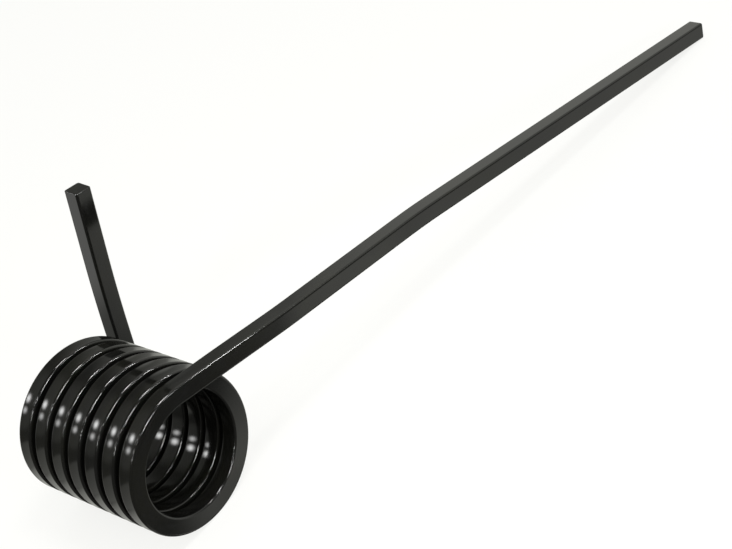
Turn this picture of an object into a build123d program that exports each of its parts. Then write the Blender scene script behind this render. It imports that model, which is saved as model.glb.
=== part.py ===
from build123d import *

import os
from math import asin, atan2, cos, degrees, hypot, pi, radians, sin

# Torsion spring: one length of square wire, wound into an open left-hand coil. The wire's rear
# end leaves the coil as a short leg that stands up, and its front end as a long leg.
# Lengths are in millimetres and angles in degrees.
#
# The wire is shaped in a winding frame, where the coil's axis is Z, the winding starts on +X and
# travels up the axis. Then it is laid down on its side, as it comes to rest. In the part's own
# frame the coil's axis is Y with the rear end on +Y, the origin is on that axis half way along
# the winding, +Z is up, and the long leg reaches out along +X until its end touches the surface.

# Wire
wire_size = 9.5  # side of the square section
wire_corner_radius = 1.2  # rounded long corners of the drawn wire
cut_edge_radius = 0.5  # rounded edges of the two cut ends

# Coil
bore_diameter = 61.5  # clear inside diameter of the turns
bore_truing = 0.03  # depth by which the mandrel trues the inside of the turns
coil_turns = 6.7476  # from where the short leg leaves to where the long leg leaves
turn_gap = 2.85  # air between one turn and the next, along the axis

# Short leg: bowed where it leaves the coil, then straight
short_leg_bow_radius = 570.0
short_leg_straight = 41.0
short_leg_rise = -3.7  # of the wire along the axis in the straight; below 0 the leg leans forward

# Long leg: three straight runs joined by two gentle bends
long_leg_bend_radius = 570.0
root_run = 70.0
middle_run = 101.2
middle_rise = 2.26  # of the wire along the axis
middle_yaw = -1.05  # round the axis, from the coil's tangent; below 0 opens the leg outwards
outer_run = 245.6
outer_rise = 4.18
outer_yaw = 0.53

# Sizes that follow
pitch = wire_size + turn_gap
mean_radius = bore_diameter / 2 + wire_size / 2 - bore_truing
outer_radius = mean_radius + wire_size / 2
winding_height = pitch * coil_turns
winding_angle = 360 * coil_turns
coil_rise = degrees(atan2(pitch, 2 * pi * mean_radius))


def outward(angle):
    """Unit vector from the coil's axis to the wire at an angle round the winding."""
    return Vector(cos(radians(angle)), -sin(radians(angle)), 0)


def heading(angle, rise):
    """Unit vector along the wire at an angle round the winding, for a rise along the axis."""
    level = Vector(-sin(radians(angle)), -cos(radians(angle)), 0)
    return level * cos(radians(rise)) + Vector(0, 0, sin(radians(rise)))


def across_coil(angle):
    """Plane across the coiled wire at an angle round the winding, with its X pointing outwards."""
    centre = outward(angle) * mean_radius + Vector(0, 0, pitch * angle / 360)
    return Plane(centre, x_dir=outward(angle), z_dir=heading(angle, coil_rise))


def wire_section(plane):
    """Square section of the wire, with its rounded corners, on a plane across it."""
    with BuildSketch(plane) as section:
        RectangleRounded(wire_size, wire_size, wire_corner_radius)
    return section.sketch


def cut_edges(leg, tip):
    """Edges round the cut end of a leg, whose centre line ends at the tip."""
    return leg.faces().sort_by_distance(tip)[0].edges()


coil_start = across_coil(0)
coil_end = across_coil(winding_angle)

# Coil
with BuildPart() as coil:
    with BuildLine() as coil_path:
        Helix(pitch=pitch, height=winding_height, radius=mean_radius, lefthand=True)
    sweep(wire_section(coil_start), path=coil_path.line, is_frenet=True)

# Short leg, traced from the coil to its cut end
bow_plane = Plane(coil_start.origin, x_dir=-coil_start.z_dir, z_dir=coil_start.x_dir)
with BuildPart() as short_leg:
    with BuildLine(bow_plane) as short_leg_path:
        bow = JernArc((0, 0), (1, 0), short_leg_bow_radius, coil_rise - short_leg_rise)
        straight = PolarLine(bow @ 1, short_leg_straight, direction=bow % 1)
    sweep(wire_section(coil_start), path=short_leg_path.line)
    fillet(cut_edges(short_leg, straight @ 1), cut_edge_radius)

# Long leg, traced from the coil to its cut end
middle_heading = heading(winding_angle + middle_yaw, middle_rise)
outer_heading = heading(winding_angle + outer_yaw, outer_rise)
first_bend = coil_end.origin + coil_end.z_dir * root_run
second_bend = first_bend + middle_heading * middle_run
long_leg_tip = second_bend + outer_heading * outer_run
with BuildPart() as long_leg:
    with BuildLine() as long_leg_path:
        FilletPolyline(
            coil_end.origin, first_bend, second_bend, long_leg_tip, radius=long_leg_bend_radius
        )
    sweep(wire_section(coil_end), path=long_leg_path.line)
    fillet(cut_edges(long_leg, long_leg_tip), cut_edge_radius)

# The whole wire, in the winding frame, with the inside of the turns trued to the bore
with BuildPart() as winding:
    add(coil.part)
    add(short_leg.part)
    add(long_leg.part)
    with BuildSketch(Plane.XY.offset(-wire_size)):
        Circle(bore_diameter / 2)
    extrude(amount=winding_height + 2 * wire_size, mode=Mode.SUBTRACT)

# How the spring lies: the surface touches the outside of the coil and the rounded lower edge of
# the long leg's end, so seen along the axis it is the common tangent of those two circles
edge_centre = (
    long_leg_tip
    - outer_heading * cut_edge_radius
    - outward(winding_angle + outer_yaw) * (wire_size / 2 - cut_edge_radius)
)
edge_bearing = degrees(atan2(edge_centre.Y, edge_centre.X))
edge_slope = degrees(asin((outer_radius - cut_edge_radius) / hypot(edge_centre.X, edge_centre.Y)))
reach = radians(edge_bearing + edge_slope)
lying = Plane(
    origin=(0, 0, winding_height / 2),
    x_dir=(cos(reach), sin(reach), 0),
    z_dir=(-sin(reach), cos(reach), 0),
)

with BuildPart() as spring:
    with Locations(lying.location.inverse()):
        add(winding.part)

spring.part.label = "spring"
os.makedirs("parts", exist_ok=True)
export_step(spring.part, "parts/spring.step")
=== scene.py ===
import math

import bpy
import numpy as np
from mathutils import Matrix, Vector


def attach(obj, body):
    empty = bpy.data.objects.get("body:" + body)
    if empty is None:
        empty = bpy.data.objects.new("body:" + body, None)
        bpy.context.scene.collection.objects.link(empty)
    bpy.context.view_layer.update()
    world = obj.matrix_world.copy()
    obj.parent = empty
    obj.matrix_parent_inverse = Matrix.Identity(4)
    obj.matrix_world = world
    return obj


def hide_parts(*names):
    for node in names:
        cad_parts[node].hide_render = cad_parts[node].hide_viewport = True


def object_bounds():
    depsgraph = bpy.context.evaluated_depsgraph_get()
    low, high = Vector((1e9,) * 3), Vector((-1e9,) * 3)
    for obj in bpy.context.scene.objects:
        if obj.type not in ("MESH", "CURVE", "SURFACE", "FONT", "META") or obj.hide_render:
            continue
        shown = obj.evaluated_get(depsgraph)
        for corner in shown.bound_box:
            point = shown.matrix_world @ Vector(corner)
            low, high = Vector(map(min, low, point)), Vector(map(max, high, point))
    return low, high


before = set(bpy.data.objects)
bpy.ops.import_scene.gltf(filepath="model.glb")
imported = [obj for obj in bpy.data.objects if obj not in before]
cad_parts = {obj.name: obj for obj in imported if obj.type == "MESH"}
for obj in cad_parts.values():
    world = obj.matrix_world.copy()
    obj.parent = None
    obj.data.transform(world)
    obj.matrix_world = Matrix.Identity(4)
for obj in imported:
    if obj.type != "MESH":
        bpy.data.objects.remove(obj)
cad_low, cad_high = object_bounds()

# Torsion spring: one length of square wire with a gloss black coating. The wire is built as one
# mesh, swept along the line that the CAD's wire follows, and stands in for the CAD node. It is
# shaped in a winding frame, where the coil's axis is Z and the winding starts on +X, and is then
# laid down as the CAD's wire lies. Lengths are in millimetres and angles in degrees, as in the
# part's source, and MM makes them metres; the floor and the lamps say their lengths in metres.
MM = 0.001

# ---------------------------------------------------------------- sizes of the wire and the coil
WIRE = 9.5
# radii of the wire's long corners: front outer, front inner, rear inner, rear outer
DRAWN_CORNERS = (1.2, 1.2, 1.2, 1.2)
WOUND_CORNERS = (1.3, 1.0, 1.2, 2.0)
OUTER_DISH = 0.10  # winding draws the middle of the outer flat in by this
INNER_CROWN = 0.08  # and sets the edges of the inner flat back by this
DISH_FADE = 30.0  # length of leg over which the wound section turns into the drawn one, all flat
BORE = 61.5
TRUING = 0.03  # depth by which the mandrel trues the inside of the turns
TURNS = 6.7476  # from where the short leg leaves the coil to where the long leg does
GAP = 2.85  # air between one turn and the next
PITCH = WIRE + GAP
MEAN_RADIUS = BORE / 2 + WIRE / 2 - TRUING
OUTER_RADIUS = MEAN_RADIUS + WIRE / 2
HEIGHT = PITCH * TURNS
WOUND = 360 * TURNS
COIL_RISE = math.degrees(math.atan2(PITCH, 2 * math.pi * MEAN_RADIUS))

BEND = 570.0  # radius of the bow in the short leg and of both bends in the long leg
SHORT_STRAIGHT = 41.0
SHORT_RISE = -3.7  # of the wire along the axis; below 0 the leg leans forward
ROOT_RUN = 70.0
MIDDLE_RUN = 101.2
MIDDLE_RISE = 2.26  # of the wire along the axis
MIDDLE_YAW = -1.05  # round the axis, from the coil's tangent; below 0 opens the leg outwards
OUTER_RUN = 245.6
OUTER_RISE = 4.18
OUTER_YAW = 0.53
CUT_EDGE = 0.5  # radius of the edges round a cut end

# ---------------------------------------------------------------- how finely the mesh is divided
STEPS_PER_TURN = 144
LEG_STEP = 8.0  # length of one step along a leg
CORNER_STEPS = 8
FACE_STEPS = 6
EDGE_STEPS = 6
END_RINGS = (0.7, 0.35, 0.02)  # rings of a cut end's flat, as shares of its rim


def unit(v):
    """v scaled to a length of 1."""
    return v / np.linalg.norm(v)


def outward(angle):
    """Unit vector from the coil's axis to the wire at an angle round the winding."""
    a = math.radians(angle)
    return np.array([math.cos(a), -math.sin(a), 0.0])


def heading(angle, rise):
    """Unit vector along the wire at an angle round the winding, for a rise along the axis."""
    a, r = math.radians(angle), math.radians(rise)
    level = np.array([-math.sin(a), -math.cos(a), 0.0])
    return level * math.cos(r) + np.array([0.0, 0.0, math.sin(r)])


def turned(v, axis, angle):
    """v turned about a unit axis by an angle in radians."""
    c, s = math.cos(angle), math.sin(angle)
    return v * c + np.cross(axis, v) * s + axis * (axis @ v) * (1 - c)


# ---------------------------------------------------------------- the line that the wire follows
# A station is a point of that line, the direction along the wire and the direction outwards.
def straight_steps(centre, along, out, length):
    """Stations of a straight run after its first one."""
    count = max(1, math.ceil(length / LEG_STEP))
    return [(centre + along * length * k / count, along, out) for k in range(1, count + 1)]


def arc_steps(centre, along, out, axis, angle, radius):
    """Stations of an arc after its first one; the wire turns about axis by angle, in radians."""
    count = max(2, math.ceil(angle * radius / LEG_STEP))
    middle = centre + np.cross(axis, along) * radius
    stations = []
    for k in range(1, count + 1):
        a = angle * k / count
        where = middle + turned(centre - middle, axis, a)
        stations.append((where, turned(along, axis, a), turned(out, axis, a)))
    return stations


def leg_stations(start, runs):
    """Stations of a leg through runs of (direction, length to the next corner), bends included."""
    corners = [start[0]]
    for direction, length in runs:
        corners.append(corners[-1] + direction * length)
    stations = [start]
    for k, (direction, length) in enumerate(runs):
        here, along, out = stations[-1]
        left = (corners[k + 1] - here) @ direction
        if k + 1 == len(runs):
            stations += straight_steps(here, along, out, left)
            break
        after = runs[k + 1][0]
        angle = math.acos(min(1.0, direction @ after))
        setback = BEND * math.tan(angle / 2)
        stations += straight_steps(here, along, out, left - setback)
        here, along, out = stations[-1]
        axis = unit(np.cross(direction, after))
        stations += arc_steps(here, along, out, axis, angle, BEND)
    return stations


def coil_stations():
    """Stations of the coil, from where the short leg leaves it to where the long leg does."""
    count = math.ceil(TURNS * STEPS_PER_TURN)
    stations = []
    for k in range(count + 1):
        a = WOUND * k / count
        where = outward(a) * MEAN_RADIUS + np.array([0.0, 0.0, PITCH * a / 360])
        stations.append((where, heading(a, COIL_RISE), outward(a)))
    return stations


def short_leg_stations(start):
    """Stations of the short leg, from the coil to its cut end."""
    centre, along, out = start
    bow = math.radians(COIL_RISE - SHORT_RISE)
    stations = [(centre, -along, out)]
    stations += arc_steps(centre, -along, out, out, bow, BEND)
    centre, along, out = stations[-1]
    stations += straight_steps(centre, along, out, SHORT_STRAIGHT)
    return stations


coil = coil_stations()
short_leg = [(c, -t, o) for c, t, o in reversed(short_leg_stations(coil[0]))]
outer_heading = heading(WOUND + OUTER_YAW, OUTER_RISE)
long_leg = leg_stations(
    coil[-1],
    [
        (coil[-1][1], ROOT_RUN),
        (heading(WOUND + MIDDLE_YAW, MIDDLE_RISE), MIDDLE_RUN),
        (outer_heading, OUTER_RUN),
    ],
)
wire_line = short_leg[:-1] + coil + long_leg[1:]

# How the spring lies: the floor touches the outside of the coil and the rounded lower edge of the
# long leg's end, so seen along the axis it is the common tangent of those two circles.
edge_centre = (
    long_leg[-1][0]
    - outer_heading * CUT_EDGE
    - outward(WOUND + OUTER_YAW) * (WIRE / 2 - CUT_EDGE)
)
edge_bearing = math.atan2(edge_centre[1], edge_centre[0])
edge_slope = math.asin((OUTER_RADIUS - CUT_EDGE) / math.hypot(edge_centre[0], edge_centre[1]))
lying_angle = edge_bearing + edge_slope


def laid_down(vectors):
    """Vectors of the winding frame in the part's frame, as the spring lies."""
    c, s = math.cos(lying_angle), math.sin(lying_angle)
    x_dir = np.array([c, s, 0.0])
    z_dir = np.array([-s, c, 0.0])
    return np.stack([vectors @ x_dir, -vectors[:, 2], vectors @ z_dir], axis=1)


def in_part(points):
    """Points of the winding frame in the part's frame, in metres."""
    return laid_down(points - np.array([0.0, 0.0, HEIGHT / 2])) * MM


# ---------------------------------------------------------------- the wire's section
def section_points(corners, outer_dish, inner_crown):
    """Points round the section: across and along the coil's axis, their normals, and how near a
    long corner each one is (1 on the corner, 0 on the flats)."""
    half = WIRE / 2
    rows = []
    for side in range(4):
        turn = Matrix.Rotation(math.radians(90 * side), 2)
        dish = {0: outer_dish, 2: -inner_crown}.get(side, 0.0)
        radius = corners[side]
        start, end = corners[side - 1] - half, half - radius
        middle, reach = (start + end) / 2, (end - start) / 2
        for k in range(FACE_STEPS + 1):
            share = 2 * k / FACE_STEPS - 1
            depth = max(dish, 0.0) - dish * share**2
            normal = Vector((1.0, -2 * dish * share / reach)).normalized()
            place = Vector((half - depth, middle + share * reach))
            rows.append((turn @ place, turn @ normal, 0.0))
        for k in range(1, CORNER_STEPS):
            a = math.radians(90 * k / CORNER_STEPS)
            normal = Vector((math.cos(a), math.sin(a)))
            centre = Vector((half - radius, half - radius))
            rows.append((turn @ (centre + normal * radius), turn @ normal, 1.0))
    points = np.array([[*r[0]] for r in rows])
    normals = np.array([[*r[1]] for r in rows])
    near = np.array([r[2] for r in rows])
    return points, normals, near


WOUND_SECTION = section_points(WOUND_CORNERS, OUTER_DISH, INNER_CROWN)
DRAWN_SECTION = section_points(DRAWN_CORNERS, 0.0, 0.0)
SECTION_CORNER = DRAWN_SECTION[2]
COLUMNS = len(SECTION_CORNER)


def section_at(leg_distance):
    """Points and normals of the section, at a distance from the coil along a leg."""
    share = min(1.0, leg_distance / DISH_FADE)
    drawn = share * share * (3 - 2 * share)  # eases in and out
    points = WOUND_SECTION[0] * (1 - drawn) + DRAWN_SECTION[0] * drawn
    normals = WOUND_SECTION[1] * (1 - drawn) + DRAWN_SECTION[1] * drawn
    return points, normals / np.linalg.norm(normals, axis=1)[:, None]


def ring(station, leg_distance, inset=0.0, forward=0.0):
    """Points and normals of the section at a station, pulled in by inset and moved along."""
    centre, along, out = station
    section, section_normals = section_at(leg_distance)
    side = np.cross(along, out)
    flat = section - section_normals * inset
    points = centre + along * forward + flat[:, :1] * out + flat[:, 1:] * side
    normals = section_normals[:, :1] * out + section_normals[:, 1:] * side
    return points, normals


def distances(line):
    """Length of the wire from its first end to each station."""
    centres = np.array([station[0] for station in line])
    steps = np.linalg.norm(np.diff(centres, axis=0), axis=1)
    return np.concatenate([[0.0], np.cumsum(steps)])


def cut_end(station, way):
    """Rings of a cut end, from the last whole section to the middle of the flat; way is 1 at the
    wire's last end and -1 at its first."""
    rings = [ring(station, DISH_FADE, forward=-way * CUT_EDGE)]
    for k in range(1, EDGE_STEPS + 1):
        a = math.radians(90 * k / EDGE_STEPS)
        inset = CUT_EDGE * (1 - math.cos(a))
        forward = way * CUT_EDGE * (math.sin(a) - 1)
        points, normals = ring(station, DISH_FADE, inset, forward)
        rings.append((points, normals * math.cos(a) + way * station[1] * math.sin(a)))
    rim = rings[-1][0]
    for share in END_RINGS:
        points = station[0] + (rim - station[0]) * share
        rings.append((points, np.tile(way * station[1], (COLUMNS, 1))))
    return rings


def wire_mesh():
    """Vertices, normals, faces and the attributes of the whole wire, in the winding frame."""
    along = distances(wire_line)
    coil_from = along[len(short_leg) - 1]
    coil_to = along[len(short_leg) + len(coil) - 2]
    rings = [(*r, 0.0) for r in reversed(cut_end(wire_line[0], -1))]
    for station, length in zip(wire_line[1:-1], along[1:-1]):
        leg_distance = max(0.0, coil_from - length, length - coil_to)
        rings.append((*ring(station, leg_distance), length))
    rings += [(*r, along[-1]) for r in cut_end(wire_line[-1], 1)]

    vertices = np.concatenate([r[0] for r in rings])
    vertex_normals = np.concatenate([r[1] for r in rings])
    # the mandrel trues the inside of the turns to the bore
    radius = np.hypot(vertices[:, 0], vertices[:, 1])
    inside = radius < BORE / 2
    vertices[inside, :2] *= (BORE / 2 / radius[inside])[:, None]
    faces = []
    for i in range(len(rings) - 1):
        for j in range(COLUMNS):
            k = (j + 1) % COLUMNS
            a, b = i * COLUMNS, (i + 1) * COLUMNS
            faces.append((a + j, a + k, b + k, b + j))
    faces.append(tuple(reversed(range(COLUMNS))))
    faces.append(tuple(range((len(rings) - 1) * COLUMNS, len(rings) * COLUMNS)))
    # place: across the wire, along the coil's axis and along the wire
    place = np.zeros((len(vertices), 3))
    place[:, :2] = np.tile(DRAWN_SECTION[0], (len(rings), 1))
    place[:, 2] = np.repeat([r[2] for r in rings], COLUMNS)
    corner = np.tile(SECTION_CORNER, len(rings))
    return vertices, vertex_normals, faces, place, corner


def build_wire():
    """The wire as one object, with the place and the corner of each vertex for its material."""
    vertices, vertex_normals, faces, place, corner = wire_mesh()
    vertex_normals = laid_down(vertex_normals)
    vertex_normals /= np.linalg.norm(vertex_normals, axis=1)[:, None]
    mesh = bpy.data.meshes.new("spring_wire")
    mesh.from_pydata(in_part(vertices).tolist(), [], faces)
    mesh.update()
    for polygon in mesh.polygons:
        polygon.use_smooth = True
    layer = mesh.attributes.new("place", "FLOAT_VECTOR", "POINT")
    layer.data.foreach_set("vector", place.astype(np.float32).ravel())
    layer = mesh.attributes.new("corner", "FLOAT", "POINT")
    layer.data.foreach_set("value", corner.astype(np.float32))
    mesh.normals_split_custom_set_from_vertices(vertex_normals.tolist())
    return bpy.data.objects.new("spring_wire", mesh)


# ---------------------------------------------------------------- nodes
class Nodes:
    """Short calls for the nodes of one tree."""

    def __init__(self, tree):
        self.tree = tree

    def put(self, socket, value):
        """Link an output into a socket, or set the socket to a plain value."""
        if isinstance(value, bpy.types.NodeSocket):
            self.tree.links.new(value, socket)
        else:
            socket.default_value = value

    def read(self, kind, output):
        """Output of a new node that takes nothing in."""
        return self.tree.nodes.new(kind).outputs[output]

    def attribute(self, name, output):
        node = self.tree.nodes.new("ShaderNodeAttribute")
        node.attribute_name = name
        return node.outputs[output]

    def vector_math(self, operation, a, b, output):
        node = self.tree.nodes.new("ShaderNodeVectorMath")
        node.operation = operation
        self.put(node.inputs[0], a)
        self.put(node.inputs[1], b)
        return node.outputs[output]

    def noise(self, place, waves, detail, roughness):
        """Noise with so many waves a unit along each direction of place."""
        node = self.tree.nodes.new("ShaderNodeTexNoise")
        self.put(node.inputs["Vector"], self.vector_math("MULTIPLY", place, waves, "Vector"))
        self.put(node.inputs["Scale"], 1.0)
        self.put(node.inputs["Detail"], detail)
        self.put(node.inputs["Roughness"], roughness)
        return node.outputs["Fac"]

    def ramp(self, value, low, high, to_low=0.0, to_high=1.0):
        """Smooth step from to_low to to_high, as the value goes from low to high."""
        node = self.tree.nodes.new("ShaderNodeMapRange")
        node.interpolation_type = "SMOOTHSTEP"
        for socket, given in zip(node.inputs, (value, low, high, to_low, to_high)):
            self.put(socket, given)
        return node.outputs["Result"]

    def math(self, operation, a, b):
        node = self.tree.nodes.new("ShaderNodeMath")
        node.operation = operation
        self.put(node.inputs[0], a)
        self.put(node.inputs[1], b)
        return node.outputs["Value"]

    def mix(self, share, a, b):
        """Colour that is a at a share of 0 and b at a share of 1."""
        node = self.tree.nodes.new("ShaderNodeMix")
        node.data_type = "RGBA"
        self.put(node.inputs[0], share)
        self.put(node.inputs[6], (*a, 1.0) if isinstance(a, tuple) else a)
        self.put(node.inputs[7], (*b, 1.0) if isinstance(b, tuple) else b)
        return node.outputs[2]

    def bump(self, height, distance, normal=None):
        """Normal bent by a height, on top of another normal if one is given."""
        node = self.tree.nodes.new("ShaderNodeBump")
        self.put(node.inputs["Height"], height)
        self.put(node.inputs["Distance"], distance)
        if normal is not None:
            self.put(node.inputs["Normal"], normal)
        return node.outputs["Normal"]


# ---------------------------------------------------------------- material
COAT_BLACK = (0.0026, 0.0026, 0.0024)
COAT_OLIVE = (0.0042, 0.0042, 0.0032)
COAT_GREY = (0.0040, 0.0040, 0.0038)
COAT_THIN = (0.012, 0.012, 0.011)
COAT_IOR = 1.5
COAT_ROUGHNESS = (0.085, 0.115)  # where the coating flowed out best, and worst
LINE_ROUGHNESS = 0.02  # what the drawn lines add
WORN_ROUGHNESS = 0.08  # what wear on the corners adds
WORN_THINNING = 0.5  # share of the thin colour where a corner is worn
PEEL_DEPTH = 1.8e-6  # metres
LINE_DEPTH = 0.6e-6  # metres
# noises over the wire: waves a millimetre across the wire, along the coil's axis and along the
# wire, then detail and roughness
DRIFT = ((0.05, 0.05, 0.02), 3.0, 0.5)
BLOTCH = ((0.35, 0.35, 0.12), 4.0, 0.6)
LINES = ((5.0, 5.0, 0.03), 3.0, 0.65)
PEEL = ((0.75, 0.75, 0.55), 2.0, 0.5)
SPECK = ((2.2, 2.2, 1.6), 3.0, 0.6)
# values of the noises where each effect begins, and where it is full
OLIVE_DRIFT = (0.35, 0.65)
GREY_BLOTCH = (0.45, 0.75)
DULL_BLOTCH = (0.30, 0.75)
DEEP_LINES = (0.55, 0.75)
WORN_SPECK = (0.58, 0.72)


def black_coating():
    """Gloss black stoving enamel: a little thinner and duller on the corners, with a faint orange
    peel and the lines of the drawn wire showing through it."""
    material = bpy.data.materials.new("gloss_black_coating")
    material.use_nodes = True
    shader = material.node_tree.nodes["Principled BSDF"]
    nodes = Nodes(material.node_tree)
    place = nodes.attribute("place", "Vector")
    corner = nodes.attribute("corner", "Fac")
    drift = nodes.noise(place, *DRIFT)
    blotch = nodes.noise(place, *BLOTCH)
    lines = nodes.noise(place, *LINES)
    peel = nodes.noise(place, *PEEL)
    speck = nodes.noise(place, *SPECK)
    worn = nodes.math("MULTIPLY", nodes.ramp(speck, *WORN_SPECK), corner)

    colour = nodes.mix(nodes.ramp(drift, *OLIVE_DRIFT), COAT_BLACK, COAT_OLIVE)
    colour = nodes.mix(nodes.ramp(blotch, *GREY_BLOTCH), colour, COAT_GREY)
    colour = nodes.mix(nodes.math("MULTIPLY", worn, WORN_THINNING), colour, COAT_THIN)
    nodes.put(shader.inputs["Base Color"], colour)

    roughness = nodes.ramp(blotch, *DULL_BLOTCH, *COAT_ROUGHNESS)
    roughness = nodes.math("ADD", roughness, nodes.ramp(lines, *DEEP_LINES, 0.0, LINE_ROUGHNESS))
    roughness = nodes.math("ADD", roughness, nodes.math("MULTIPLY", worn, WORN_ROUGHNESS))
    nodes.put(shader.inputs["Roughness"], roughness)
    nodes.put(shader.inputs["IOR"], COAT_IOR)

    normal = nodes.bump(peel, PEEL_DEPTH)
    normal = nodes.bump(lines, LINE_DEPTH, normal)
    nodes.put(shader.inputs["Normal"], normal)
    return material


# ---------------------------------------------------------------- the spring
wire = build_wire()
bpy.context.scene.collection.objects.link(wire)
wire.data.materials.append(black_coating())
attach(wire, "root")
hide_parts("spring")

# ---------------------------------------------------------------- floor
# Pale and glowing, with a faint shadow from the soft light above. Reflections don't show it: the
# glows of the studio stand for the table that the coating mirrors.
FLOOR_REACH = 12.0  # metres from the middle to each side
FLOOR_CORNERS = ((-1, -1), (1, -1), (1, 1), (-1, 1))
FLOOR_COLOUR = (0.08, 0.08, 0.078, 1.0)
FLOOR_GLOW = (1.0, 1.0, 0.978, 1.0)
FLOOR_GLOW_STRENGTH = 0.84
FLOOR_ROUGHNESS = 0.9


def pale_floor():
    """Square floor at the height on which the spring lies."""
    corners = [(x * FLOOR_REACH, y * FLOOR_REACH, 0) for x, y in FLOOR_CORNERS]
    mesh = bpy.data.meshes.new("floor")
    mesh.from_pydata(corners, [], [(0, 1, 2, 3)])
    material = bpy.data.materials.new("pale_floor")
    material.use_nodes = True
    shader = material.node_tree.nodes["Principled BSDF"]
    shader.inputs["Base Color"].default_value = FLOOR_COLOUR
    shader.inputs["Emission Color"].default_value = FLOOR_GLOW
    shader.inputs["Emission Strength"].default_value = FLOOR_GLOW_STRENGTH
    shader.inputs["Roughness"].default_value = FLOOR_ROUGHNESS
    shader.inputs["Specular IOR Level"].default_value = 0.0
    mesh.materials.append(material)
    obj = bpy.data.objects.new("floor", mesh)
    obj.location = (0.0, 0.0, cad_low.z)
    obj.visible_glossy = False
    return obj


floor = pale_floor()
bpy.context.scene.collection.objects.link(floor)


# ---------------------------------------------------------------- light
def direction(azimuth, elevation):
    """Unit vector towards an azimuth, from +Y towards +X, and an elevation above the floor."""
    a, e = math.radians(azimuth), math.radians(elevation)
    return Vector((math.sin(a) * math.cos(e), math.cos(a) * math.cos(e), math.sin(e)))


def face(thing, target, azimuth, elevation, distance, tilt):
    """Put a lamp or the camera that way and that far from a target, facing it and tilted."""
    away = direction(azimuth, elevation)
    level = away.cross(Vector((0.0, 0.0, 1.0))).normalized()
    across = Matrix.Rotation(math.radians(-tilt), 3, away) @ level
    turn = Matrix([-across, away.cross(-across), away]).transposed()
    thing.matrix_world = Matrix.Translation(target + away * distance) @ turn.to_4x4()


STUDIO_BASE = 0.11  # strength of the dim room between the glows
STUDIO_TINT = (0.99, 1.0, 0.92)
BACKDROP = (0.982, 0.982, 0.960)  # what the camera sees behind the floor
STUDIO_GLOW = {
    # where: azimuth, elevation, angle of its full part, angle at which it ends, strength
    "wall_right": (93, 20, 42, 51, 0.72),
    "wall_front_right": (152, 4, 5, 13, 0.30),
    "wall_left": (-41, 14, 3, 14, 0.18),
    "wall_back_left": (-20, 37, 4, 26, 0.20),
    "wall_back_right": (46, 2, 8, 44, 0.15),
    "table_right": (97, -8, 40, 56, 0.50),
    "table_front": (138, -33, 10, 14.5, 0.60),
    "table_edge": (147.5, -35, 0.5, 4, 0.82),
    "table_back_right": (41, -27, 9, 19, 0.46),
    "table_behind": (-5, -43, 7, 24, 0.47),
    "table_left": (-37, -24, 13, 17, 0.27),
    "strip_below": (-70, -76, 3, 14, 0.80),
    "strip_below_left": (-168, -59, 1, 7, 0.9),
    "strip_below_behind": (-14, -62, 2, 9, 0.35),
    "strip_below_front": (148, -55, 1.5, 6, 2.2),
}
STUDIO_FLAGS = {
    # black cards: azimuth, elevation, angle of its full part, angle at which it ends, light left
    "flag_front_right": (143, 2, 12, 19, 0.4),
}


def studio_world():
    """World that the camera sees as a plain backdrop and that reflections see as a dim room."""
    world = bpy.data.worlds.new("studio")
    world.use_nodes = True
    background = world.node_tree.nodes["Background"]
    nodes = Nodes(world.node_tree)
    toward = nodes.read("ShaderNodeTexCoord", "Generated")

    def round_patch(azimuth, elevation, full, ends, outside, inside):
        """Value that is inside round a direction and outside beyond the angle at which it ends."""
        middle = direction(azimuth, elevation)
        near = nodes.vector_math("DOT_PRODUCT", toward, middle, "Value")
        low, high = math.cos(math.radians(ends)), math.cos(math.radians(full))
        return nodes.ramp(near, low, high, outside, inside)

    glow = 0.0
    for azimuth, elevation, full, ends, strength in STUDIO_GLOW.values():
        patch = round_patch(azimuth, elevation, full, ends, 0.0, strength)
        glow = nodes.math("MAXIMUM", glow, patch)
    glow = nodes.math("ADD", glow, STUDIO_BASE)
    for azimuth, elevation, full, ends, left in STUDIO_FLAGS.values():
        patch = round_patch(azimuth, elevation, full, ends, 1.0, left)
        glow = nodes.math("MULTIPLY", glow, patch)
    seen = nodes.read("ShaderNodeLightPath", "Is Camera Ray")
    nodes.put(background.inputs["Color"], nodes.mix(seen, STUDIO_TINT, BACKDROP))
    nodes.put(background.inputs["Strength"], nodes.math("MAXIMUM", glow, seen))
    return world


bpy.context.scene.world = studio_world()

# Oval lamps. A lamp shows only in the first reflection: a second one, between two turns, would be
# a bare speck. Cycles counts one step more than the reflections when it reads a lamp.
LAST_DEPTH = 2.5
LAMP_MIDDLE = (0.5, 0.5, 0.0)  # in a lamp's own coordinates
LAMP_RIM = 0.5  # distance of its rim from its middle
SOFTBOXES = {
    # azimuth, elevation, distance, width, height, tilt, radiance in the middle, soft share;
    # lengths in metres
    "back_left_high": (-33, 33, 3.0, 0.53, 0.66, -42, 15.5, 1.0),
    "back_left_low": (-40, 23, 3.0, 0.53, 0.53, 0, 8.5, 1.0),
    "left_low": (-107, 31, 1.0, 0.025, 0.42, -15, 140, 0.5),
    "left_high": (-117, 46, 1.0, 0.23, 0.015, -57, 300, 0.5),
    "front_left": (-172, 22, 1.0, 0.38, 0.08, -5, 105, 0.3),
    "overhead": (146, 69, 1.0, 0.39, 0.08, 66, 110, 0.3),
    "front_low": (161, 18, 1.0, 0.29, 0.04, 12, 60, 0.3),
    "front_right": (133.5, 40, 0.22, 0.052, 0.010, 59, 135, 0.3),
    "short_leg_card": (-19, 6, 0.204, 0.08, 0.15, 0, 0.50, 0.5),
}
# the same for the lamp at the short leg's cut end, which has a grid that keeps it off the coil
TIP_LIGHT = (135, 30, 0.06, 0.013, 0.013, 0, 18, 0.6)
TIP_INSET = 1.0  # millimetres that its aim lies inside the end's front corner
GRID_HALF_BEAM = 20  # angle from the middle of its beam to the side


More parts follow.
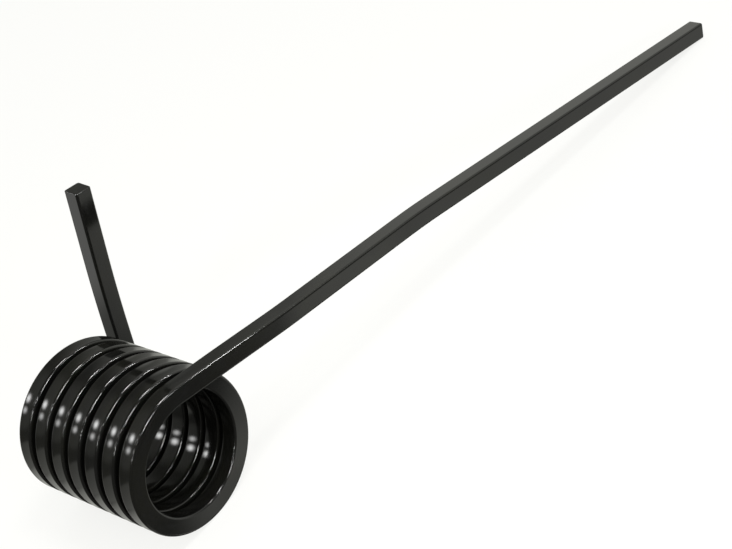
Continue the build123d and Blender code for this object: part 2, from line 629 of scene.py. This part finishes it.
def softbox(name, azimuth, elevation, distance, width, height, tilt, radiance, soft, target=None):
    """Oval lamp that faces the origin, dimming towards its rim over the soft share of it. With a
    target, it faces that point instead, at the distance from it, through a grid."""
    area = math.pi / 4 * width * height
    data = bpy.data.lights.new(name, "AREA")
    data.shape = "ELLIPSE"
    data.size = width
    data.size_y = height
    data.energy = math.pi * radiance * area
    if target is not None:
        half_beam = math.radians(GRID_HALF_BEAM)
        data.spread = 2 * half_beam
        data.energy *= 1 - half_beam / math.tan(half_beam)  # so that the grid adds no brightness
    data.cycles.max_bounces = 0
    data.use_nodes = True
    nodes = Nodes(data.node_tree)
    where = nodes.read("ShaderNodeNewGeometry", "Parametric")
    from_middle = nodes.vector_math("DISTANCE", where, LAMP_MIDDLE, "Value")
    fade = nodes.ramp(from_middle, LAMP_RIM, LAMP_RIM * (1 - soft))
    early = nodes.math("LESS_THAN", nodes.read("ShaderNodeLightPath", "Ray Depth"), LAST_DEPTH)
    emission = data.node_tree.nodes["Emission"]
    nodes.put(emission.inputs["Strength"], nodes.math("MULTIPLY", fade, early))
    light = bpy.data.objects.new(name, data)
    face(light, target or Vector(), azimuth, elevation, distance, tilt)
    light.visible_camera = False
    bpy.context.scene.collection.objects.link(light)


def tip_aim():
    """Point of the short leg's cut end, just inside its front corner on the coil's side."""
    centre, along, out = short_leg[0]
    side = np.cross(along, out)
    corner = centre + (side - out) * (WIRE / 2 - TIP_INSET)
    return Vector(in_part(corner[None])[0])


for name, values in SOFTBOXES.items():
    softbox(name, *values)
softbox("tip_light", *TIP_LIGHT, tip_aim())

SUN_ANGLE = 100  # how wide it looks from the floor
SUN_STRENGTH = 3.2


def soft_sun():
    """Soft light from straight above, which casts the floor's shadow and isn't reflected."""
    data = bpy.data.lights.new("soft_top", "SUN")
    data.angle = math.radians(SUN_ANGLE)
    data.energy = SUN_STRENGTH
    obj = bpy.data.objects.new("soft_top", data)
    obj.visible_glossy = False
    return obj


bpy.context.scene.collection.objects.link(soft_sun())

# ---------------------------------------------------------------- camera
CAMERA_AIM = (134.493, -42.978, 0.0)  # where its line of sight comes down to the coil axis's height
CAMERA_DISTANCE = 857.76
CAMERA_AZIMUTH = 217.820
CAMERA_ELEVATION = 35.601
CAMERA_ROLL = 22.327
LENS = 82.913
SENSOR = 36.0
NEAREST = 10.0
FARTHEST = 50000.0


def photo_camera():
    """Camera that sees the spring as the photo does."""
    data = bpy.data.cameras.new("camera")
    data.lens = LENS
    data.sensor_width = SENSOR
    data.clip_start = NEAREST * MM
    data.clip_end = FARTHEST * MM
    obj = bpy.data.objects.new("camera", data)
    aim = Vector(CAMERA_AIM) * MM
    face(obj, aim, CAMERA_AZIMUTH, CAMERA_ELEVATION, CAMERA_DISTANCE * MM, CAMERA_ROLL)
    return obj


camera = photo_camera()
bpy.context.scene.collection.objects.link(camera)
bpy.context.scene.camera = camera
bpy.context.scene.view_settings.view_transform = "Standard"
